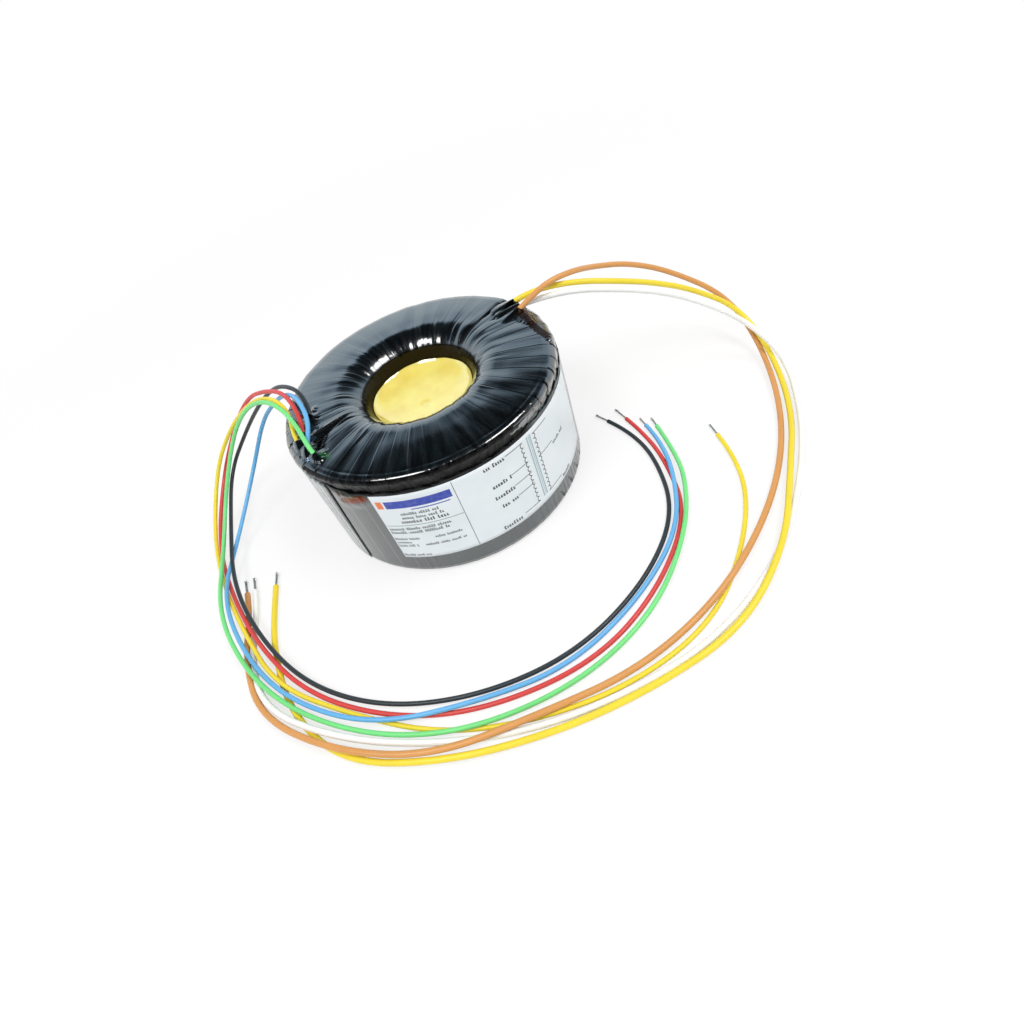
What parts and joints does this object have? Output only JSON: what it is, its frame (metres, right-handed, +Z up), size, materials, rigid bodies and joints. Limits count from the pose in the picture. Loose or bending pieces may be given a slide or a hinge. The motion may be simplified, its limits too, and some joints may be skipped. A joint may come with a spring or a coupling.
{
  "type": "toroidal transformer",
  "caption": "Taped ring-shaped output transformer with a printed side label, resin-filled centre and long coloured flying leads.",
  "frame": {"origin": "on the winding axis, in the plane that the taped ring stands on", "axes": "+Z up along the winding axis, out of the resin-filled face; -Y through the middle of the label; the primary leads leave at -X and the secondary leads at +X"},
  "size_m": [0.2845, 0.2031, 0.0662],
  "materials": {
    "core_steel": "edge-on strip steel",
    "insulation_film": "translucent polyester film",
    "enamelled_copper": "varnished copper wire",
    "black_tape": "smooth wrinkled polyester tape",
    "band_film": "glossy tinted film",
    "label_film": "printed silver-grey film",
    "potting_resin": "glossy cast resin",
    "insert_brass": "turned",
    "sleeve_green": "smooth extruded",
    "sleeve_black": "smooth extruded",
    "sleeve_blue": "smooth extruded",
    "sleeve_red": "smooth extruded",
    "sleeve_yellow": "smooth extruded",
    "sleeve_brown": "smooth extruded",
    "sleeve_white": "smooth extruded",
    "tinned_strands": "tinned"
  },
  "bodies": {
    "root": {"steel_core": "core_steel", "core_insulation": "insulation_film", "primary_winding_inner": "enamelled_copper", "insulation_inner": "insulation_film", "secondary_winding": "enamelled_copper", "insulation_outer": "insulation_film", "primary_winding_outer": "enamelled_copper", "outer_wrap": "black_tape", "side_band": "band_film", "label": "label_film", "resin_filling": "potting_resin", "threaded_insert": "insert_brass", "primary_lead_green": "sleeve_green", "primary_lead_black": "sleeve_black", "primary_lead_blue": "sleeve_blue", "primary_lead_red": "sleeve_red", "primary_lead_yellow": "sleeve_yellow", "secondary_lead_brown": "sleeve_brown", "secondary_lead_yellow": "sleeve_yellow", "secondary_lead_white": "sleeve_white", "primary_tip_green": "tinned_strands", "primary_tip_black": "tinned_strands", "primary_tip_blue": "tinned_strands", "primary_tip_red": "tinned_strands", "primary_tip_yellow": "tinned_strands", "secondary_tip_brown": "tinned_strands", "secondary_tip_yellow": "tinned_strands", "secondary_tip_white": "tinned_strands"}
  },
  "joints": []
}
